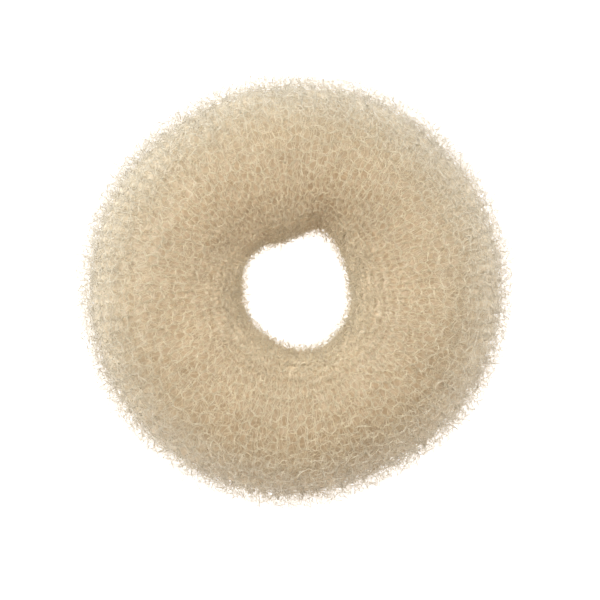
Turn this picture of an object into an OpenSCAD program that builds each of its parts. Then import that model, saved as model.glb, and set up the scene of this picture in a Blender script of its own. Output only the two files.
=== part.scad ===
// Hair donut: a sleeve of knitted net rolled up into one soft thick ring.
// The ring lies on its side. The origin is the middle of the hole on the resting plane, +Z is up through the hole.
// Angles round the ring run anticlockwise from +X, seen from above. Lengths are in millimetres.

/* [Ring] */
// Outer diameter of the rolled ring
ring_d = 90; // [60:1:130]
// Diameter of the hole that the ponytail is pulled through
hole_d = 22; // [14:1:34]
// Height of the roll as it lies
roll_h = 32; // [22:1:44]
// How far the soft roll is pressed flat where it rests
base_squash = 0.8; // [0.3:0.1:2]

/* [Roll edge] */
// Step down from the end of the outermost turn of net to the turn below it
edge_step = 1.2; // [0.4:0.1:2.4]
// Angle of the end round the roll: 0 is outward, 90 the top, 180 the hole, 270 the table
edge_angle = 204; // [196:1:212]
// Angle round the roll that the turn below takes to come up level again
ease_angle = 34; // [20:1:38]

/* [Hidden] */

net_colour = [0.86, 0.80, 0.68];

// Half the outer diameter and half the hole, which the shares below multiply
rim_r = ring_d / 2;
hole_r = hole_d / 2;

// Sections round the ring, where the hand-rolled net bulges, dents or puckers.
// angle: degrees round the ring
// rim: distance to the outer rim, as a share of half the outer diameter
// hole: distance to the edge of the hole, as a share of half the hole
// high: height of the section, as a share of the roll's height
// end: degrees that the end of the net wanders round the roll from its place
sections = [
    // angle, rim, hole, high, end
    [0, 1.003, 0.965, 0.985, 0],
    [22, 1.004, 0.985, 0.975, 2],
    [43, 1.000, 1.060, 0.970, 4],
    [66, 1.004, 1.170, 0.985, 1],
    [84, 0.998, 0.975, 1.000, -3],
    [104, 0.999, 0.860, 0.990, -2],
    [122, 0.992, 0.935, 0.970, 2],
    [148, 1.001, 0.985, 0.965, 5],
    [176, 1.001, 0.915, 0.985, 2],
    [208, 1.000, 0.925, 0.995, -2],
    [240, 0.996, 0.955, 0.980, -4],
    [268, 0.998, 1.035, 0.965, -1],
    [294, 0.967, 1.110, 0.975, 3],
    [318, 0.983, 1.060, 0.990, 1],
    [340, 0.994, 1.025, 0.995, -2]
];
rows = len(sections);

// How many sections the skin is made of, and how many points each one has on its two arcs
ring_steps = 72;
top_steps = 25;
under_steps = 8;
section_steps = top_steps + under_steps;

// Angle, row and value of a column with the row number going round and round
function turn_of(i) = floor(i / rows);
function row_of(i) = i - rows * turn_of(i);
function row_angle(i) = sections[row_of(i)][0] + 360 * turn_of(i);
function row_value(i, column) = sections[row_of(i)][column];

// Slope of a column at a row, from the rows on either side of it
function row_slope(i, column) =
    (row_value(i + 1, column) - row_value(i - 1, column))
    / (row_angle(i + 1) - row_angle(i - 1));

// The last row at or before an angle
function row_before(angle) = max([for (i = [0 : rows - 1]) if (sections[i][0] <= angle) i]);

// A smooth curve through a column of the table, closed round the ring
function smooth_between(i, column, gap, t) =
    (2 * t * t * t - 3 * t * t + 1) * row_value(i, column)
    + (t * t * t - 2 * t * t + t) * gap * row_slope(i, column)
    + (3 * t * t - 2 * t * t * t) * row_value(i + 1, column)
    + (t * t * t - t * t) * gap * row_slope(i + 1, column);
function smooth_at(angle, column) =
    let (i = row_before(angle), gap = row_angle(i + 1) - row_angle(i))
    smooth_between(i, column, gap, (angle - row_angle(i)) / gap);

// Measures of the section at one angle
function rim_at(angle) = rim_r * smooth_at(angle, 1);
function hole_at(angle) = hole_r * smooth_at(angle, 2);
function middle_at(angle) = (rim_at(angle) + hole_at(angle)) / 2;
function half_w_at(angle) = (rim_at(angle) - hole_at(angle)) / 2;
function half_h_at(angle) = (roll_h * smooth_at(angle, 3) + base_squash) / 2;
function end_at(angle) = edge_angle + smooth_at(angle, 4);

// Half the angle that the flat underside takes up, seen from the middle of the section
function flat_at(angle) = acos(1 - base_squash / half_h_at(angle));

// How far the skin lies in below the end of the net, easing out over ease_angle
function ease(t) = 1 - t * t * (3 - 2 * t);
function step_in(past_end) = edge_step * ease(min(past_end / ease_angle, 1));

// A point of the section: across the ring and up, at an angle round the roll
function section_point(angle, round_roll, inset) =
    let (half_w = half_w_at(angle) - inset, half_h = half_h_at(angle) - inset)
    [
        middle_at(angle) + half_w * cos(round_roll),
        half_h_at(angle) - base_squash + half_h * sin(round_roll)
    ];

// The long arc from the flat underside over the top to the end of the net
function top_arc(angle) =
    let (first = -90 + flat_at(angle), last = end_at(angle))
    [for (k = [0 : top_steps - 1])
        section_point(angle, first + (last - first) * k / (top_steps - 1), 0)];

// The short arc from below the end of the net on to the flat underside
function under_arc(angle) =
    let (first = end_at(angle), last = 270 - flat_at(angle))
    [for (k = [0 : under_steps - 1])
        let (round_roll = first + (last - first) * k / (under_steps - 1))
        section_point(angle, round_roll, step_in(round_roll - first))];

// The section's points set up round the ring
function section_at(angle) =
    [for (p = concat(top_arc(angle), under_arc(angle)))
        [p[0] * cos(angle), p[0] * sin(angle), max(p[1], 0)]];
skin_points = [for (s = [0 : ring_steps - 1]) each section_at(360 * s / ring_steps)];

// Two triangles between each two neighbouring points and the next section
function at(s, k) = (s % ring_steps) * section_steps + k % section_steps;
skin_faces = [
    for (s = [0 : ring_steps - 1])
        for (k = [0 : section_steps - 1])
            each [
                [at(s, k), at(s, k + 1), at(s + 1, k)],
                [at(s, k + 1), at(s + 1, k + 1), at(s + 1, k)]
            ]
];

// The rolled-up net: a plump ring, flattened where it lies, with the end of the roll low down in the hole
module rolled_net() {
    color(net_colour)
        polyhedron(points = skin_points, faces = skin_faces, convexity = 6);
}

rolled_net();
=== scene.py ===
# %% [markdown]
# A hair donut is one long sleeve of knitted nylon net. The maker rolls the sleeve up on itself,
# like the cuff of a stocking, until it is a thick soft ring that a ponytail goes through.
#
# The frame holds that ring as one closed solid, `rolled_net`, in metres, resting on its side with
# the hole along +Z. It has the right outline, dents and flat underside, but a smooth skin. This
# lesson keeps its shape and knits the skin: the outer turns of the roll become real strands of
# yarn, and the turns further in become one padded form under them.

# %% Load the frame
import math

import bpy
import numpy as np
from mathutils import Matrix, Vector, noise
from mathutils.bvhtree import BVHTree


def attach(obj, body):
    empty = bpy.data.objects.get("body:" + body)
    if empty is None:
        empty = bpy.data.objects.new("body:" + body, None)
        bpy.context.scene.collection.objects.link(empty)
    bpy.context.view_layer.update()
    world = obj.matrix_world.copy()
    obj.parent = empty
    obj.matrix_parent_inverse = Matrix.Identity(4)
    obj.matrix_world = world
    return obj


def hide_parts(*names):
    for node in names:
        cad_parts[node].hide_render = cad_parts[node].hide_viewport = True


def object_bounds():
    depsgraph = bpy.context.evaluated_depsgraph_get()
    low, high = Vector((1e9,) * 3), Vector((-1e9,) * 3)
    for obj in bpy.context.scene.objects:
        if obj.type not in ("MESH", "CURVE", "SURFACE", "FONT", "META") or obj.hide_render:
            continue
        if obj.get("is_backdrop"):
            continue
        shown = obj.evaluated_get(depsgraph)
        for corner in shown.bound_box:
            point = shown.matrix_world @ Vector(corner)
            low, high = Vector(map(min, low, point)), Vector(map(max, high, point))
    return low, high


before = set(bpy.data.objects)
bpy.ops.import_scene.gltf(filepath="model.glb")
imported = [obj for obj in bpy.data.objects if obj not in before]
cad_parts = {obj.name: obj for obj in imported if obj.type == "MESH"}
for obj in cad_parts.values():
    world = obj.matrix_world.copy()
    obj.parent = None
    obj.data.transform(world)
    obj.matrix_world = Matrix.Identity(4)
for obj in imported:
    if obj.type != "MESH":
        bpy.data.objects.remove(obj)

MM = 0.001
cad_low, cad_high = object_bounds()
ring_height = cad_high.z - cad_low.z
ring_width = cad_high.x - cad_low.x
print(f"The ring is {ring_width / MM:.1f} mm across and {ring_height / MM:.1f} mm high")

# %% [markdown]
# Every strand of the net follows the skin of the ring, so the script first needs that skin as a
# surface that can be read at any place. One way is to repeat the construction's formulas, but
# then a change there would not arrive here. This way feels for the skin instead: at each angle
# round the ring it finds the middle of the roll, and sends rays outward from it until they meet
# the frame's solid.

# %% Feel for the skin of the roll
COLUMNS = 144         # places round the ring
FEELERS = 720         # rays round the roll at each place
FULL = 2 * math.pi    # a full turn
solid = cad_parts["rolled_net"]
skin_tree = BVHTree.FromPolygons(
    [v.co for v in solid.data.vertices], [p.vertices for p in solid.data.polygons]
)


def outward(round_ring):
    """Unit vector away from the middle of the ring, at an angle round it."""
    return Vector((math.cos(round_ring), math.sin(round_ring), 0))


def roll_middle(round_ring):
    """Middle of the roll's section: halfway from the hole to the rim, at half the height."""
    level, out = Vector((0, 0, ring_height / 2)), outward(round_ring)
    hole = skin_tree.ray_cast(level, out)[0]
    rim = skin_tree.ray_cast(level + out * ring_width, -out)[0]
    return (hole + rim) / 2


def feel_section(round_ring):
    """The middle of the roll, and how far the skin is from it every half degree round the roll."""
    middle, out, up = roll_middle(round_ring), outward(round_ring), Vector((0, 0, 1))
    angles = [FULL * k / FEELERS for k in range(FEELERS)]
    rays = [out * math.cos(a) + up * math.sin(a) for a in angles]
    return middle, np.array([skin_tree.ray_cast(middle, ray)[3] for ray in rays])


felt = [feel_section(FULL * c / COLUMNS) for c in range(COLUMNS)]
middles = np.array([m for m, _ in felt])
reaches = np.array([r for _, r in felt])
print(f"The roll reaches {reaches.min() / MM:.1f} to {reaches.max() / MM:.1f} mm from its middle")

# %% [markdown]
# Low down in the hole the outermost turn of net ends, and the skin steps in to the turn below.
# The strands have to start at that end, run over the top, round the outside and along the
# underside, and slip in under their own start. So the step is looked for in the measured
# distances, and then smoothed over: what is left is the level of the outermost turn all the way
# round, and the step's height says how far apart the turns lie.

# %% Find the end of the net and level the skin over it
HOLE_SIDE = (190, 250)         # degrees round the roll between which the end lies
LEVEL_AGAIN = 42               # degrees past the end where the skin is level again
per_degree = FEELERS // 360
first, last = (d * per_degree for d in HOLE_SIDE)
drops = reaches[:, first:last - 1] - reaches[:, first + 1:last]
end_at = first + drops.argmax(1)                      # the last ray on the outermost turn
turn_gap = float(np.median(drops.max(1)))
for column, end in enumerate(end_at):
    span = np.arange(end, end + LEVEL_AGAIN * per_degree + 1)
    reaches[column, span] = np.interp(span, span[[0, -1]], reaches[column, span[[0, -1]]])
end_angle = FULL * end_at / FEELERS
print(f"The net ends {np.degrees(end_angle.mean()):.0f} degrees round the roll")
print(f"The turns lie {turn_gap / MM:.2f} mm apart")

# %% [markdown]
# The smoothed skin becomes a guide: a grid with one direction round the ring and the other round
# the roll, counted from the end of the net. A point of the net is then two plain numbers, and the
# guide says where that is in space and which way is out. At the hole the net is bunched together,
# and its rows of loops lie close. At the rim they are drawn apart. The rows of the grid are
# spaced that way, so that rows that are even on the map come out right on the ring.

# %% Lay the rows of the guide
GUIDE_ROWS = 150             # rows of the guide in one turn round the roll
BUNCHING = 0.2               # how much further apart they lie at the rim than on top, as a share
FINE_STEPS = 4 * FEELERS     # steps in which the way round the roll is measured
ROLL_PASSES = 60             # how many times the skin is evened out round the roll
RING_PASSES = 2              # and round the ring
END_PASSES = 4               # how many times the end of the net is evened out


def smoothed(values, axis, passes):
    """Evens out a closed ring of values, which takes the facets of the frame off the guide."""
    for _ in range(passes):
        values = (np.roll(values, 1, axis) + 2 * values + np.roll(values, -1, axis)) / 4
    return values


reaches = smoothed(smoothed(reaches, 1, ROLL_PASSES), 0, RING_PASSES)
end_angle = smoothed(end_angle, 0, END_PASSES)


def skin_point(column, angle):
    """Places on the skin at one column of the ring, for an array of angles round the roll."""
    turn = FULL * column / COLUMNS
    felt_at = FULL * np.arange(FEELERS) / FEELERS
    reach = np.interp(angle, felt_at, reaches[column], period=FULL)
    out, up = reach * np.cos(angle), reach * np.sin(angle)
    x, y, z = middles[column]
    return np.stack([x + out * np.cos(turn), y + out * np.sin(turn), z + up], -1)


def evenly_knitted(column):
    """The angle of each row, from the end of the net over the top, and the whole way round."""
    angle = end_angle[column] - np.linspace(0, FULL, FINE_STEPS + 1)
    step = np.linalg.norm(np.diff(skin_point(column, angle), axis=0), axis=1)
    stitch = 1 + BUNCHING * np.cos((angle[1:] + angle[:-1]) / 2)
    rows = np.concatenate([[0], np.cumsum(step / stitch)])
    return np.interp(np.linspace(0, rows[-1], GUIDE_ROWS + 1), rows, angle)[:-1], step.sum()


knitted = [evenly_knitted(c) for c in range(COLUMNS)]
skin = np.array([skin_point(c, angles) for c, (angles, _) in enumerate(knitted)])
along_ring = np.roll(skin, -1, 0) - np.roll(skin, 1, 0)
along_roll = np.roll(skin, -1, 1) - np.roll(skin, 1, 1)
out_of_skin = np.cross(along_roll, along_ring)
out_of_skin /= np.linalg.norm(out_of_skin, axis=2, keepdims=True)
print(f"Once round the roll is {np.mean([length for _, length in knitted]) / MM:.0f} mm")

# %% [markdown]
# Geometry Nodes can't read these numbers, but they can read a mesh. So the grid becomes one:
# quads, with the two directions as a UV map, and the way out as an attribute of each point. Both
# ways it runs on a little past a full turn, which saves any care at the seam. The guide is never
# seen. Only copies of it go into the node tree, and the strands take their place.

# %% Make the guide surface
OVERLAP = 5             # rows and columns that the guide repeats past a full turn


def guide_mesh():
    """The skin as a mesh of quads, with the net's map and the way out at each point."""
    columns = np.arange(-OVERLAP, COLUMNS + OVERLAP + 1)
    rows = np.arange(-OVERLAP, GUIDE_ROWS + OVERLAP + 1)
    places = skin[columns % COLUMNS][:, rows % GUIDE_ROWS].reshape(-1, 3)
    ways_out = out_of_skin[columns % COLUMNS][:, rows % GUIDE_ROWS].reshape(-1, 3)
    u, v = np.meshgrid(columns / COLUMNS, rows / GUIDE_ROWS, indexing="ij")
    uv = np.stack([u, v], -1).reshape(-1, 2)
    corner = np.arange(len(columns) - 1)[:, None] * len(rows) + np.arange(len(rows) - 1)
    quads = corner.reshape(-1, 1) + np.array([0, 1, len(rows) + 1, len(rows)])
    mesh = bpy.data.meshes.new("guide")
    mesh.from_pydata(places.tolist(), [], quads.tolist())
    layer = mesh.uv_layers.new(name="net_map")
    layer.uv.foreach_set("vector", uv[quads.ravel()].astype(np.float32).ravel())
    out = mesh.attributes.new("out", "FLOAT_VECTOR", "POINT")
    out.data.foreach_set("vector", ways_out.astype(np.float32).ravel())
    return mesh


guide = guide_mesh()
print(f"The guide has {len(guide.polygons)} quads")

# %% [markdown]
# Node trees are easier to read as sums than as boxes and wires. Two small classes make that
# possible, for shaders and for Geometry Nodes alike. The first, `Flow`, wraps an output, so that
# `a * b + c` adds the Math nodes. The reflected forms make `1 - a` work too.

# %% A value that can be used in sums
class Flow:
    """An output socket of a graph, which can be used in sums."""

    def __init__(self, graph, socket):
        self.graph = graph
        self.socket = socket

    def __add__(self, other):
        return self.graph.math("ADD", self, other)

    def __radd__(self, other):
        return self.graph.math("ADD", other, self)

    def __sub__(self, other):
        return self.graph.math("SUBTRACT", self, other)

    def __rsub__(self, other):
        return self.graph.math("SUBTRACT", other, self)

    def __mul__(self, other):
        return self.graph.math("MULTIPLY", self, other)

    def __rmul__(self, other):
        return self.graph.math("MULTIPLY", other, self)

    def __truediv__(self, other):
        return self.graph.math("DIVIDE", self, other)

    def __rtruediv__(self, other):
        return self.graph.math("DIVIDE", other, self)


print("Outputs of nodes can be used in sums")

# %% [markdown]
# The second class, `Graph`, adds the nodes. Its `add` takes a node's type, its settings, and the
# values or links of its sockets, and gives back the output as a `Flow`. The other methods are
# short ways to the nodes that are used most.

# %% A tree that grows node by node
class Graph:
    """A node tree that grows by one call for each node."""

    def __init__(self, tree):
        self.tree = tree

    def feed(self, socket, value):
        """Links a flow to a socket, or sets a plain value on it."""
        if isinstance(value, Flow):
            self.tree.links.new(value.socket, socket)
        else:
            socket.default_value = value

    def node(self, kind, settings, *values, **named):
        """Adds a node: its settings, then the values of its live sockets, in order or by name."""
        node = self.tree.nodes.new(kind)
        for name, value in settings.items():
            if name == "stops":
                stops = node.color_ramp.elements
                while len(stops) < len(value):
                    stops.new(1.0)
                for stop, (place, colour) in zip(stops, value):
                    stop.position, stop.color = place, (*colour, 1)
            else:
                setattr(node, name, value)
        live = [s for s in node.inputs if s.enabled]
        for socket, value in zip(live, values):
            self.feed(socket, value)
        for name, value in named.items():
            self.feed(next(s for s in live if s.name.lower() == name), value)
        return node

    def add(self, kind, settings, *values, **named):
        """Adds a node and returns its first live output."""
        node = self.node(kind, settings, *values, **named)
        return Flow(self, next(s for s in node.outputs if s.enabled))

    def math(self, operation, *values):
        """Adds a Math node."""
        return self.add("ShaderNodeMath", {"operation": operation}, *values)

    def vector(self, operation, *values):
        """Adds a Vector Math node."""
        return self.add("ShaderNodeVectorMath", {"operation": operation}, *values)

    def parts(self, vector):
        """The X, Y and Z of a vector."""
        return [Flow(self, s) for s in self.node("ShaderNodeSeparateXYZ", {}, vector).outputs]

    def smoothly(self, value, start, end, low, high):
        """Goes from low to high without a corner, while the value goes from start to end."""
        smooth = {"interpolation_type": "SMOOTHSTEP"}
        return self.add("ShaderNodeMapRange", smooth, value, start, end, low, high)


print("Node trees can be written line by line")

# %% [markdown]
# The net is plain knitting. In each course, a row round the sleeve, one yarn makes a chain of
# loops shaped like the letter omega, and every loop is pulled through the one in the course
# before. The holes inside the loops and between them are the rounded cells of the net. One loop
# could be modelled and copied, but the loops are stretched wide at the rim and squeezed narrow at
# the hole, and no two are alike. So one Geometry Nodes tree knits a whole turn: it makes one
# closed curve for each course, bends all of them with one formula on the guide's map, looks up
# where that is in space, and sweeps a thin section along them.
#
# These are the tree's inputs. Lengths are in metres. Twist, Bulge and Stagger are shares of a
# loop's width, Loop height is counted in courses, and From, To, Turn and Sinks from are shares of
# a turn round the roll.

# %% The sizes of a turn of net
SIZES = {
    "Loops": "NodeSocketInt",
    "Courses": "NodeSocketInt",
    "Points per loop": "NodeSocketInt",
    "Turn": "NodeSocketFloat",              # 0 for the outermost turn, more for turns further in
    "Turn gap": "NodeSocketFloat",          # how far apart the turns lie
    "First depth": "NodeSocketFloat",       # how deep the outermost turn lies in the frame's skin
    "Sinks from": "NodeSocketFloat",        # where the turn starts to slip in under its own start
    "From": "NodeSocketFloat",
    "To": "NodeSocketFloat",
    "Twist": "NodeSocketFloat",             # how far the loops have moved round after one turn
    "Yarn radius": "NodeSocketFloat",
    "Bulge": "NodeSocketFloat",             # how far the legs of an omega lean out
    "Loop height": "NodeSocketFloat",
    "Lift": "NodeSocketFloat",              # heads and feet of the loops out, their legs in
    "Wander": "NodeSocketFloat",            # drift that neighbouring courses share
    "Curl": "NodeSocketFloat",
    "Curl size": "NodeSocketFloat",
    "Frizz": "NodeSocketFloat",             # more curl, at the rim only
    "Puff": "NodeSocketFloat",              # strands that stand out of the net and sink into it
    "Puff size": "NodeSocketFloat",
    "Pressed in": "NodeSocketFloat",        # how much deeper it lies where it faces up or down
    "Kink": "NodeSocketFloat",              # a shift of each single point
    "Stagger": "NodeSocketFloat",           # a random shift of each course round the ring
    "Seed": "NodeSocketInt",
    "Yarn": "NodeSocketMaterial",
}


def open_tree():
    """A new tree with all the sizes as its inputs, as (graph, the inputs by name)."""
    tree = bpy.data.node_groups.new("knitted_turn", "GeometryNodeTree")
    tree.interface.new_socket("Guide", in_out="INPUT", socket_type="NodeSocketGeometry")
    for name, kind in SIZES.items():
        tree.interface.new_socket(name, in_out="INPUT", socket_type=kind)
    tree.interface.new_socket("Net", in_out="OUTPUT", socket_type="NodeSocketGeometry")
    g = Graph(tree)
    start = tree.nodes.new("NodeGroupInput")
    return g, {s.name: Flow(g, s) for s in start.outputs if s.name}


print(f"A turn of net has {len(SIZES)} sizes")

# %% [markdown]
# First the loops are drawn flat, on the guide's map. Going round the ring, a cosine makes a
# course swing up and down, and a sine of twice the speed moves it back and forth, which pinches
# the feet of each loop together: that is the omega. Each course starts a little further round
# than the one before, and a random stagger keeps the wales, the columns of loops, from lining up
# like print.

# %% Draw the loops on the map
def draw_loops(g, given):
    """The courses as closed curves, and where each of their points is: spot, v, turns, phase."""
    points = given["Loops"] * given["Points per loop"]
    course = g.add("GeometryNodeCurvePrimitiveCircle", {}, points)
    starts = g.add("GeometryNodeMeshLine", {}, given["Courses"])
    copies = g.add("GeometryNodeInstanceOnPoints", {}, starts, instance=course)
    curves = g.add("GeometryNodeRealizeInstances", {}, copies)

    index = g.add("GeometryNodeInputIndex", {})
    number = g.math("FLOOR", (index + 0.5) / points)        # which course a point is in
    round_ring = g.add("GeometryNodeSplineParameter", {})
    phase = round_ring * given["Loops"] * FULL

    swing = given["Loop height"] * g.math("COSINE", phase)
    v = (number + 0.5 - swing) / given["Courses"]
    v = given["From"] + v * (given["To"] - given["From"])
    turns = given["Turn"] + v
    shift = g.add("FunctionNodeRandomValue", {"data_type": "FLOAT"}, id=number, seed=given["Seed"])
    lean = given["Bulge"] * g.math("SINE", phase * 2)
    lean = lean + turns * given["Twist"] + shift * given["Stagger"]
    u = g.math("FRACT", round_ring + lean / given["Loops"])
    return curves, g.add("ShaderNodeCombineXYZ", {}, u, v, 0), v, turns, phase


print("The loops are drawn from one cosine and one sine")

# %% [markdown]
# Then the map is looked up in space. A point goes to its spot on the skin and moves along the way
# out: the turns before it push it in, a noise puffs it out or sinks it, and soft noises drift and
# curl it in any direction. The yarn has more room to move at the rim than at the hole, where the
# net is bunched up and pulled in, so those moves grow with the distance from the ring's axis.
# Nothing goes below the table.

# %% Place the loops on the ring
SPREAD_AT = 36 * MM          # distance from the axis at which the net lies as it was knitted
TIGHT = 0.75                 # the share of its looseness that the net would keep at the axis
HOLE_GAP = 2.0 * MM          # how much deeper it would lie at the axis, as it is pulled in there
DRIFT_SIZE = 5 * MM          # the size of the shared drift
FRIZZ_POWER = 4              # keeps the frizz to the rim
NOISE_STEP = 3               # keeps the noise of one turn apart from that of the next
PUFF_NOISE = 31              # and the noise of the puffs apart from that of the drift
NOISE_MIDDLE = 0.5           # what a noise is on average, which is taken off it
VECTORS = {"data_type": "FLOAT_VECTOR"}


def place_loops(g, given, spot, v, turns, phase):
    """Where each point of the courses goes in space, and how much room it has there."""
    net_map = g.add("GeometryNodeInputNamedAttribute", VECTORS, "net_map")

    def read_guide(value):
        """A value of the guide, at each point's spot on the map."""
        return g.add("GeometryNodeSampleUVSurface", VECTORS, given["Guide"], value, net_map, spot)

    on_skin = read_guide(g.add("GeometryNodeInputPosition", {}))
    way_out = read_guide(g.add("GeometryNodeInputNamedAttribute", VECTORS, "out"))
    room = g.vector("LENGTH", g.vector("MULTIPLY", on_skin, (1, 1, 0))) / SPREAD_AT
    loose = TIGHT + (1 - TIGHT) * room

    def noise_at(size, seed):
        """A noise that changes over about that size, the same for strands that touch."""
        with_seed = {"noise_dimensions": "4D"}
        return g.node("ShaderNodeTexNoise", with_seed, on_skin, w=seed, scale=1 / size, detail=1.0)

    def wander(size, reach, seed):
        """A shift in any direction, which changes over about that size."""
        cloud = Flow(g, noise_at(size, seed).outputs["Color"])
        return g.vector("SCALE", g.vector("SUBTRACT", cloud, (NOISE_MIDDLE,) * 3), reach)

    sinking = g.smoothly(v, given["Sinks from"], 1, 0, 1)
    facing_up = g.parts(way_out)[2]
    bunched = 1 - room
    depth = given["First depth"] * room + given["Turn gap"] * (given["Turn"] + sinking)
    depth = depth + bunched * bunched * HOLE_GAP + given["Pressed in"] * facing_up * facing_up
    puffs = noise_at(given["Puff size"], turns * NOISE_STEP + PUFF_NOISE)
    puff = (Flow(g, puffs.outputs[0]) - NOISE_MIDDLE) * given["Puff"] * loose
    height = given["Lift"] * g.math("COSINE", phase * 2) - depth + puff
    place = g.vector("ADD", on_skin, g.vector("SCALE", way_out, height))

    drift = wander(DRIFT_SIZE, given["Wander"] * loose, turns * NOISE_STEP)
    reach = given["Curl"] * loose + given["Frizz"] * g.math("POWER", room, FRIZZ_POWER)
    curl = wander(given["Curl size"], reach, turns * NOISE_STEP + given["Seed"])
    kink = g.add("FunctionNodeRandomValue", VECTORS, (-1, -1, -1), (1, 1, 1), seed=given["Seed"])
    place = g.vector("ADD", place, g.vector("ADD", drift, curl))
    place = g.vector("ADD", place, g.vector("SCALE", kink, given["Kink"] * loose))
    x, y, z = g.parts(place)
    above_table = g.math("MAXIMUM", z, given["Yarn radius"])
    return g.add("ShaderNodeCombineXYZ", {}, x, y, above_table), room


print(f"The net lies as knitted {SPREAD_AT / MM:.0f} mm from the axis, and is tighter further in")

# %% [markdown]
# Last, a section is swept along every course. A strand is about an eighth of a millimetre thick,
# less than a pixel of the photograph, so three sides are enough, and they leave the triangles for
# more loops. The strands are drawn out a little thinner where the net is tight.

# %% Build the tree that knits one turn
YARN_SIDES = 3
THINNEST = 0.75        # how thick a strand would be at the axis, as a share of its full thickness


def knitting_tree():
    """The tree: guide mesh in, strands of one turn out."""
    g, given = open_tree()
    curves, spot, v, turns, phase = draw_loops(g, given)
    place, room = place_loops(g, given, spot, v, turns, phase)
    bent = g.add("GeometryNodeSetPosition", {}, curves, position=place)
    section = g.add("GeometryNodeCurvePrimitiveCircle", {}, YARN_SIDES, radius=given["Yarn radius"])
    thickness = THINNEST + (1 - THINNEST) * room
    strands = g.add("GeometryNodeCurveToMesh", {}, bent, section, scale=thickness)
    strands = g.add("GeometryNodeSetShadeSmooth", {}, strands)
    strands = g.add("GeometryNodeRealizeInstances", {}, strands)
    finished = g.add("GeometryNodeSetMaterial", {}, strands, material=given["Yarn"])
    end = g.tree.nodes.new("NodeGroupOutput")
    g.tree.links.new(finished.socket, end.inputs[0])
    return g.tree


knitting = knitting_tree()
print(f"The knitting tree has {len(knitting.nodes)} nodes")

# %% [markdown]
# The yarn is springy cream nylon with a soft sheen. What gives the ring its look is light between
# the strands: where the net is bunched up at the hole, light bounces from strand to strand and
# turns tan, and at the rim it comes through from behind and stays pale. A renderer could work all
# of that out with many bounces through clear fibres, but it would take hours and flicker with
# noise. Here the real gaps between the strands make the small shadows, and the colour says the
# rest: it goes from tan in the hole to cream at the rim, by the distance from the ring's axis,
# with soft blotches over it.
#
# The turns further in are seen through two layers of net, so they also get a fine crumb, and
# cells with paler edges, which stand for the loops of the turns that aren't knitted as strands.

# %% The colour of the yarn
# Where the six colours lie, in mm from the axis: hole, slope, crown, shoulder, rim, tips
COLOURS_AT = (13.5, 19, 27, 34, 41.5, 44.5)
COLOUR_REACH = 48                # mm from the axis at which the colours end
BLOTCHES, BLOTCH = 90.0, 0.2     # how many in a metre, and how strong
CRUMBS, CRUMB = 800.0, 0.3       # and the same for the crumb
CELL = 2.2 * MM                  # width of a cell of the turns further in
CELL_EDGE = 0.13                 # how wide its pale edge is, as a share
PALER = (0.8, 1.0, 1.3)          # the edges gain least in red and most in blue


def yarn_colour(g, colours, edges):
    """Six colours from the hole outwards, with blotches, and with cells if edges isn't zero."""
    place = Flow(g, g.node("ShaderNodeTexCoord", {}).outputs["Object"])
    length = {"operation": "LENGTH"}
    from_axis = g.node("ShaderNodeVectorMath", length, g.vector("MULTIPLY", place, (1, 1, 0)))
    distance = Flow(g, from_axis.outputs["Value"])
    stops = [(where / COLOUR_REACH, colour) for where, colour in zip(COLOURS_AT, colours)]
    colour = g.add("ShaderNodeValToRGB", {"stops": stops}, distance / (COLOUR_REACH * MM))
    blotches = g.add("ShaderNodeTexNoise", {}, place, scale=BLOTCHES, detail=2.0)
    tone = (1 - BLOTCH / 2) + BLOTCH * blotches
    if edges:
        crumbs = g.add("ShaderNodeTexNoise", {}, place, scale=CRUMBS, detail=3.0)
        tone = tone + CRUMB * (crumbs - NOISE_MIDDLE)
        to_edge = {"feature": "DISTANCE_TO_EDGE"}
        cells = g.add("ShaderNodeTexVoronoi", to_edge, place, scale=1 / CELL)
        edge = g.smoothly(cells, 0.0, CELL_EDGE, edges, 0)
        paler = g.vector("ADD", g.vector("SCALE", PALER, edge), (1, 1, 1))
        colour = g.vector("MULTIPLY", colour, paler)
    return g.vector("SCALE", colour, tone)


print(f"The colours change {COLOURS_AT[0]} to {COLOURS_AT[-1]} mm from the axis")

# %% [markdown]
# The finish is a plain Principled shader, and a strand also lets some light through to its far
# side. Real transmission is slow in so many strands, so one Translucent shader is mixed in
# instead, with a tenth of the light in the net and half in the loose ends outside, which glow
# against the table. There are four yarns: that of the outermost turn, that of the fuzz, a darker
# and warmer one for the turn below, and a darker and warmer one still for the turns further in.
# Those two are darker by painted shade, for the light that reaches less deep into the roll.

# %% Nylon yarn
ROUGHNESS = 0.4        # a soft gloss


def yarn_material(name, colours, edges=0, through=0, glow=None):
    """Nylon that lets that share of the light through, in the colour of the glow."""
    material = bpy.data.materials.new(name)
    material.use_nodes = True
    g = Graph(material.node_tree)
    shader = material.node_tree.nodes["Principled BSDF"]
    g.feed(shader.inputs["Base Color"], yarn_colour(g, colours, edges))
    shader.inputs["Roughness"].default_value = ROUGHNESS
    if through:
        front = Flow(g, shader.outputs["BSDF"])
        behind = g.add("ShaderNodeBsdfTranslucent", {}, (*glow, 1))
        mixed = g.add("ShaderNodeMixShader", {}, through, front, behind)
        g.feed(material.node_tree.nodes["Material Output"].inputs["Surface"], mixed)
    print(f"{name}: {len(material.node_tree.nodes)} nodes")
    return material


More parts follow.
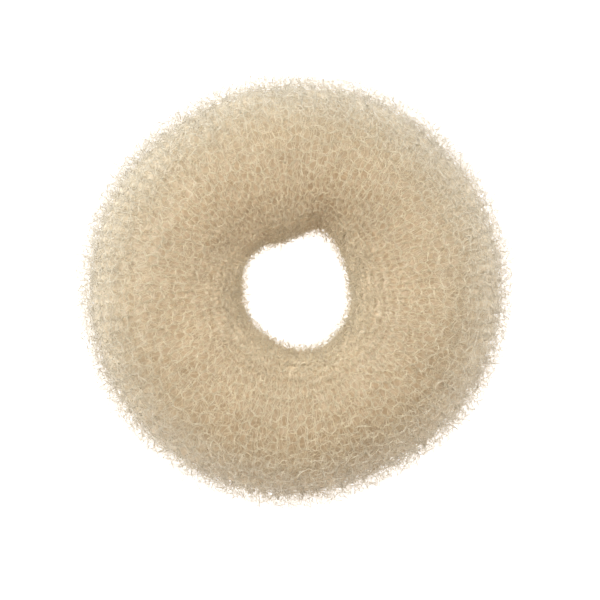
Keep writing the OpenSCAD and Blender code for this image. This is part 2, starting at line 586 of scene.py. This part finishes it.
net_yarn = yarn_material("net_yarn", (
    (0.97, 0.875, 0.685), (0.93, 0.835, 0.64), (0.905, 0.835, 0.65),
    (0.87, 0.80, 0.635), (0.93, 0.885, 0.78), (0.92, 0.88, 0.79),
), through=0.1, glow=(0.90, 0.83, 0.67))
fringe_yarn = yarn_material("fringe_yarn", (
    (0.97, 0.88, 0.69), (0.89, 0.80, 0.615), (0.82, 0.76, 0.59),
    (0.84, 0.775, 0.62), (0.97, 0.935, 0.855), (0.93, 0.895, 0.82),
), through=0.5, glow=(0.94, 0.905, 0.83))
# darker and warmer than net_yarn: painted shade for the turn that lies deeper
second_yarn = yarn_material("second_yarn", (
    (0.95, 0.81, 0.60), (0.83, 0.705, 0.50), (0.81, 0.70, 0.50),
    (0.83, 0.725, 0.535), (0.90, 0.835, 0.69), (0.83, 0.785, 0.69),
), through=0.1, glow=(0.84, 0.74, 0.56))
# darker and warmer still: painted shade for the turns further in, where less light arrives
inner_yarn = yarn_material("inner_yarn", (
    (0.86, 0.725, 0.54), (0.64, 0.505, 0.345), (0.56, 0.43, 0.285),
    (0.58, 0.465, 0.32), (0.78, 0.69, 0.54), (0.89, 0.82, 0.69),
), edges=0.18)

# %% [markdown]
# A thousand thin strands are hard to unwrap once they are a mesh. Here a UV map is easy: the
# vertices come in order, so a vertex's number says which course it is in, how far round the ring
# and on which side of the strand, and each course gets its own strip of the map.

# %% A map for the strands
BAKE_MAP = "OFBake"        # the name of the strands' map, on which a finish can be baked


def strand_map(mesh, courses, points):
    """Gives the strands a UV map: round the ring one way, course after course the other."""
    corners = np.empty(len(mesh.loops), dtype=np.int32)
    mesh.loops.foreach_get("vertex_index", corners)
    course, rest = np.divmod(corners.reshape(-1, 4), points * YARN_SIDES)
    point, side = np.divmod(rest, YARN_SIDES)
    for count, whole in ((point, points), (side, YARN_SIDES)):
        closing = np.ptp(count, axis=1) > 1                 # the quads that close a ring
        count[closing[:, None] & (count == 0)] = whole
    uv = np.stack([point / points, (course + side / YARN_SIDES) / courses], -1)
    layer = mesh.uv_layers.new(name=BAKE_MAP)
    layer.uv.foreach_set("vector", uv.astype(np.float32).ravel())


print("Each course has its own strip of the map")

# %% [markdown]
# One call knits one piece: it puts the tree on a copy of the guide, sets the sizes, and keeps the
# result as a plain mesh. The object is new and stays at the origin, so that the pattern on its
# Object coordinates stays in place.

# %% A way to knit
def knit(name, **sizes):
    """One piece of net as a plain mesh, from the knitting tree on a copy of the guide."""
    piece = bpy.data.objects.new(name, guide.copy())
    bpy.context.scene.collection.objects.link(piece)
    modifier = piece.modifiers.new("knit", "NODES")
    modifier.node_group = knitting
    for socket in knitting.interface.items_tree:
        if socket.in_out == "INPUT" and socket.name in sizes:
            modifier[socket.identifier] = sizes[socket.name]
    evaluated = piece.evaluated_get(bpy.context.evaluated_depsgraph_get())
    made = bpy.data.meshes.new_from_object(evaluated)
    piece.modifiers.clear()
    piece.data = made
    strand_map(made, sizes["Courses"], sizes["Loops"] * sizes["Points per loop"])
    print(f"{name}: {2 * len(made.polygons)} triangles")
    return piece


print("A piece of net can be knitted by one call")

# %% [markdown]
# The outermost turn carries most of the look: 48 loops round the ring in 41 courses. Real yarn is
# a bundle of fine filaments that part here and there, so the turn is knitted twice from the same
# pattern, with strands of two thicknesses and different curls. They run together in places and
# split in others, as filaments do, and that gives the soft, hairy cells of the photograph. The
# last tenth of the turn slips in below its own start.

# %% Knit the outermost turn
OUTER_TURN = {
    "Loops": 48, "Courses": 41, "Points per loop": 15,
    "Turn": 0.0, "Turn gap": turn_gap, "First depth": 1.3 * MM, "Sinks from": 0.9,
    "From": 0.0, "To": 1.0, "Pressed in": 0.0, "Yarn radius": 0.066 * MM,
    "Twist": 0.82, "Bulge": 0.17, "Loop height": 0.72, "Stagger": 0.15,
    "Lift": 0.2 * MM, "Wander": 2.4 * MM, "Kink": 0.2 * MM, "Frizz": 1.3 * MM,
    "Curl": 1.4 * MM, "Curl size": 1.8 * MM, "Puff": 2.8 * MM, "Puff size": 2.2 * MM,
    "Seed": 7, "Yarn": net_yarn,
}
FINER = {
    "Yarn radius": 0.057 * MM, "Curl": 1.8 * MM, "Curl size": 1.6 * MM, "Frizz": 1.5 * MM,
    "Puff": 3.2 * MM, "Seed": 17,
}
pieces = [knit("outer_net_a", **OUTER_TURN), knit("outer_net_b", **{**OUTER_TURN, **FINER})]

# %% [markdown]
# Broken filaments make a fuzz. On the crown they lie in the net as short curly arcs, which break
# up the outlines of the cells. At the rim they stand out about two millimetres, and blur the edge
# of the ring against the light, and inside the hole they do so a little. Hair particles could do
# this, but here the same tree serves: with many narrow loops, a full loop of stagger, strong
# small curls and a strip of the turn instead of all of it, the knitting is no longer seen. Where
# a strip of fringe ends, it is pressed into the net, so that no end shows.

# %% Add the fuzz of broken filaments
FUZZ = {
    **OUTER_TURN, "Loops": 84, "Frizz": 0.0, "Stagger": 1.0, "Curl size": 0.9 * MM,
    "Puff size": 1.6 * MM, "Yarn": fringe_yarn,
}
ON_CROWN = {
    "From": 0.10, "To": 0.50, "Courses": 14, "Points per loop": 12,
    "First depth": 1.1 * MM, "Yarn radius": 0.050 * MM,
    "Curl": 2.6 * MM, "Puff": 2.0 * MM, "Stagger": 0.99, "Seed": 57, "Yarn": net_yarn,
}
AT_RIM = {
    "From": 0.46, "To": 0.69, "Courses": 11, "Points per loop": 10,
    "First depth": -0.4 * MM, "Pressed in": 5.0 * MM, "Yarn radius": 0.045 * MM,
    "Curl": 4.0 * MM, "Puff": 5.0 * MM, "Seed": 27,
}
ROUND_RIM = {
    "From": 0.42, "To": 0.73, "Courses": 14, "Points per loop": 10,
    "First depth": 0.5 * MM, "Pressed in": 3.0 * MM, "Yarn radius": 0.042 * MM,
    "Curl": 3.0 * MM, "Puff": 4.0 * MM, "Seed": 37,
}
IN_HOLE = {
    "From": 0.0, "To": 0.22, "Loops": 44, "Courses": 10, "Points per loop": 9,
    "First depth": -1.6 * MM, "Pressed in": 4.0 * MM, "Yarn radius": 0.052 * MM,
    "Curl": 5.0 * MM, "Curl size": 1.2 * MM, "Puff": 4.0 * MM, "Puff size": 1.5 * MM,
    "Seed": 47,
}
FUZZES = {
    "crown_fuzz": ON_CROWN, "rim_fringe_a": AT_RIM, "rim_fringe_b": ROUND_RIM,
    "hole_fringe": IN_HOLE,
}
pieces += [knit(name, **{**FUZZ, **sizes}) for name, sizes in FUZZES.items()]

# %% [markdown]
# Through the cells of the outermost turn the next one shows. It is the same net a turn further
# along, but knitted as a turn of its own it would need two pieces of sleeve. It is made as one
# turn that starts half a turn later, with fewer courses and plainer, thicker strands, since
# little of it is seen.

# %% Knit the turn below
BELOW = {
    "Turn": 0.5, "Courses": 37, "Points per loop": 12, "Yarn radius": 0.082 * MM,
    "Curl": 2.0 * MM, "Frizz": 1.0 * MM, "Puff": 2.4 * MM, "Seed": 8, "Yarn": second_yarn,
}
pieces.append(knit("second_net", **{**OUTER_TURN, **BELOW}))

# %% [markdown]
# The turns further in could be knitted too, but light hardly reaches them, and no gap goes
# through all of them. They are one closed form that takes the place of the frame's solid: the
# guide's skin, moved in, and lumpy like wadded net. Lumps need more points than the guide has, so
# its grid is first read at places between its own.

# %% Read the skin more finely
INNER_COLUMNS, INNER_ROWS = 240, 200


def read_finely(values):
    """Values of the guide's grid, at the places of a finer one."""
    column, row = np.meshgrid(
        np.arange(INNER_COLUMNS) * COLUMNS / INNER_COLUMNS,
        np.arange(INNER_ROWS) * GUIDE_ROWS / INNER_ROWS,
        indexing="ij",
    )
    c, r = column.astype(int), row.astype(int)
    past_c, past_r = (column - c)[..., None], (row - r)[..., None]

    def between_rows(c):
        return values[c, r] * (1 - past_r) + values[c, (r + 1) % GUIDE_ROWS] * past_r

    near, far = between_rows(c), between_rows((c + 1) % COLUMNS)
    return (near * (1 - past_c) + far * past_c).reshape(-1, 3)


fine_skin, fine_out = read_finely(skin), read_finely(out_of_skin)
print(f"The skin is read at {len(fine_skin)} places")

# %% [markdown]
# The form lies deepest on the crown, where the cells look deep, and close under the strands at
# the hole, at the rim and on the underside, where no gaps are seen between them. So the depth is
# a sum of a few simple terms: one that grows outwards, one for the way the skin faces, one each
# for the rim and the hole, and the lumps.

# %% Sink the turns further in
UNDER_NET = 0.5 * MM         # how much deeper than the turn below the form lies
MOST_ROOM = 1.1              # how far out it gets deeper, as a share of SPREAD_AT
ON_TOP = 0.3 * MM            # how much deeper it lies where the skin faces up
UNDERNEATH = -1.6 * MM       # and where it faces down
RIM_OUT = 0.7 * MM           # how much nearer the skin it comes at the rim
RIM_AT = (0.95, 1.15)        # where that starts and where it is full, as shares of SPREAD_AT
HOLE_OUT = 0.25 * MM         # how much nearer the skin it comes at the hole
HOLE_AT = (0.62, 0.40)       # and where that starts and is full
LUMP = 2.4 * MM              # size of the lumps
LUMP_KIND = (0.9, 2.0, 2)    # how finer lumps fade, how much finer each size is, how many sizes
LUMP_HEIGHT = 0.45 * MM      # how high the lumps are
MORE_AT_RIM = 0.5 * MM       # and how much higher at the rim


def ramp(values, start, end):
    """0 at the start, 1 at the end, and level past both."""
    return np.clip((values - start) / (end - start), 0, 1)


def sunk_depth():
    """How deep below the skin each point of the form lies."""
    room = np.hypot(fine_skin[:, 0], fine_skin[:, 1]) / SPREAD_AT
    level = OUTER_TURN["First depth"] + turn_gap + UNDER_NET
    facing_up = fine_out[:, 2]
    rim = ramp(room, *RIM_AT) * (1 - facing_up ** 2)
    lumps = np.array([noise.fractal(Vector(p) / LUMP, *LUMP_KIND) for p in fine_skin])
    depth = level * np.minimum(room, MOST_ROOM) + HOLE_GAP * (1 - room) ** 2
    depth += np.where(facing_up > 0, ON_TOP, UNDERNEATH) * facing_up ** 2
    depth -= RIM_OUT * rim + HOLE_OUT * ramp(room, *HOLE_AT)
    return depth - (LUMP_HEIGHT + MORE_AT_RIM * rim) * lumps


depth = sunk_depth()
print(f"The turns further in lie {depth.min() / MM:.1f} to {depth.max() / MM:.1f} mm deep")

# %% [markdown]
# Rows and columns that run on into their own start close the form both ways, like the tube of a
# tyre, so it has no poles and no seam. The map is cut where they start over.

# %% Make the turns further in
def inner_mesh():
    """The form as a closed mesh of quads, with a UV map."""
    column, row = np.meshgrid(np.arange(INNER_COLUMNS), np.arange(INNER_ROWS), indexing="ij")
    column = column.reshape(-1, 1) + [0, 0, 1, 1]
    row = row.reshape(-1, 1) + [0, 1, 1, 0]
    quads = (column % INNER_COLUMNS) * INNER_ROWS + row % INNER_ROWS
    mesh = bpy.data.meshes.new("inner_turns")
    mesh.from_pydata((fine_skin - depth[:, None] * fine_out).tolist(), [], quads.tolist())
    mesh.shade_smooth()
    layer = mesh.uv_layers.new(name=BAKE_MAP)
    uv = np.stack([column / INNER_COLUMNS, row / INNER_ROWS], -1)
    layer.uv.foreach_set("vector", uv.astype(np.float32).ravel())
    mesh.materials.append(inner_yarn)
    return mesh


inner_turns = bpy.data.objects.new("inner_turns", inner_mesh())
bpy.context.scene.collection.objects.link(inner_turns)
print(f"inner_turns: {2 * len(inner_turns.data.polygons)} triangles")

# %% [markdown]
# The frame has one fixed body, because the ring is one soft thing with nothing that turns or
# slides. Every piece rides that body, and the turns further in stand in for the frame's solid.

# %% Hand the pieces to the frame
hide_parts("rolled_net")
for piece in [inner_turns] + pieces:
    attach(piece, "root")
print(f"{len(pieces) + 1} pieces ride the ring's one body")

# %% [markdown]
# The photograph was taken on a white table, lit from below as well, so the ring has no shadow and
# its fringe glows. The table here is a wide plane that gives off its own light, a little warm.

# %% Table
def table_material():
    """White that gives off light, so that no shadow is left on it."""
    material = bpy.data.materials.new("white_table")
    material.use_nodes = True
    shader = material.node_tree.nodes["Principled BSDF"]
    shader.inputs["Base Color"].default_value = (0.25, 0.25, 0.25, 1)
    shader.inputs["Roughness"].default_value = 0.9
    shader.inputs["Emission Color"].default_value = (1, 0.94, 0.88, 1)
    shader.inputs["Emission Strength"].default_value = 1.15
    return material


bpy.ops.mesh.primitive_plane_add(size=12)
table = bpy.context.object
table.name = "table"
table.data.materials.append(table_material())
table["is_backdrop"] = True
print("The table is white and gives off light")

# %% [markdown]
# The light from above is soft and comes from all sides, more from the left and from the top of
# the picture, and least from its bottom: that side of the rim and the wall of the hole that faces
# it are the darkest and the brownest in the photograph. A dome gives the soft part. It is warm
# overhead, and pale at the horizon, so that the table runs into it without an edge when the ring
# is seen from the side. Towards the bottom of the picture it is dimmer and loses its blue first.

# %% Dome
HORIZON, OVERHEAD = (0.95, 0.935, 0.91), (0.58, 0.447, 0.325)
OVERHEAD_FROM = 0.5                       # how high up the colour overhead starts
BRIGHTNESS = 0.90                         # before the changes by direction below
LIGHTER_BEHIND = (0.30, 0.36, 0.43)       # what it gains towards the top of the picture
WARMER_IN_FRONT = (0.0, 0.10, 0.20)       # what it loses besides towards the bottom
DIMMER_RIGHT = 0.06                       # and towards the right
world = bpy.data.worlds.new("studio")
bpy.context.scene.world = world
world.use_nodes = True
dome = Graph(world.node_tree)
direction = dome.node("ShaderNodeTexCoord", {}).outputs["Generated"]
right, back, up = dome.parts(Flow(dome, direction))
sky = dome.add("ShaderNodeValToRGB", {"stops": [(0, HORIZON), (OVERHEAD_FROM, OVERHEAD)]}, up)
front = dome.math("MAXIMUM", 0 - back, 0)
sideways = BRIGHTNESS - DIMMER_RIGHT * right
tint = dome.vector("ADD", dome.vector("SCALE", LIGHTER_BEHIND, back), sideways)
tint = dome.vector("SUBTRACT", tint, dome.vector("SCALE", WARMER_IN_FRONT, front))
sky = dome.vector("MULTIPLY", sky, tint)
dome.feed(world.node_tree.nodes["Background"].inputs["Color"], sky)
print("The dome is warm overhead and pale at the horizon")

# %% [markdown]
# Four lamps give the rest. They are round and wide next to the ring, because a small lamp would
# draw a hard shadow beside every strand and drown the cells. The left one is the strongest, which
# makes the ring a little lighter on that side, as it is in the photograph.

# %% Lamps
AIM = Vector((0, 0, ring_height / 2))
LAMP_COLOUR = (0.92, 0.985, 1.0)
LAMPS = {        # where it stands and how wide it is, in metres, and its power in watts
    "left_softbox": ((-0.42, 0.14, 0.46), 0.50, 3.0),
    "right_softbox": ((0.42, 0.12, 0.46), 0.50, 1.85),
    "back_softbox": ((-0.06, 0.44, 0.46), 0.50, 0.15),
    "ceiling": ((0.0, 0.0, 0.90), 0.40, 0.85),
}
for name, (place, width, power) in LAMPS.items():
    data = bpy.data.lights.new(name, "AREA")
    data.shape = "DISK"
    data.size = width
    data.energy = power
    data.color = LAMP_COLOUR
    lamp = bpy.data.objects.new(name, data)
    lamp.location = place
    lamp.rotation_euler = (AIM - Vector(place)).to_track_quat("-Z", "Y").to_euler()
    bpy.context.scene.collection.objects.link(lamp)
    print(f"{name}: {power} W")

# %% [markdown]
# The camera looks straight down. The ring's outline in the photograph is 427 pixels for 90 mm, so
# one of its pixels is 0.211 mm at half the ring's height, and the middle of the hole lies a few
# pixels off the picture's. A long lens from 0.7 m shows as much of the hole's wall as the
# photograph does.

# %% Camera
PICTURE = 600                  # pixels each way
PIXEL = 0.211 * MM
OFF_CENTRE = (5.1, -9.6)       # pixels from the middle of the ring to the middle of the picture
CAMERA_HEIGHT = 0.7            # metres
SENSOR = 36                    # millimetres
lens = bpy.data.cameras.new("overhead")
lens.sensor_width = SENSOR
lens.lens = SENSOR * (CAMERA_HEIGHT - ring_height / 2) / (PICTURE * PIXEL)
camera = bpy.data.objects.new("overhead", lens)
camera.location = (OFF_CENTRE[0] * PIXEL, OFF_CENTRE[1] * PIXEL, CAMERA_HEIGHT)
bpy.context.scene.collection.objects.link(camera)
bpy.context.scene.camera = camera
bpy.context.scene.view_settings.view_transform = "Standard"
print(f"The lens is {lens.lens:.0f} mm")

# %% [markdown]
# The dressed ring should be the size of the frame's. Its fringe stands out a little past it, as
# the real one's does. Its size is printed here, as the frame's was at the start.

# %% Finish
low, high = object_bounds()
size = (high - low) / MM
print(f"Dressed, the ring is {size.x:.1f} mm across and {size.z:.1f} mm high")
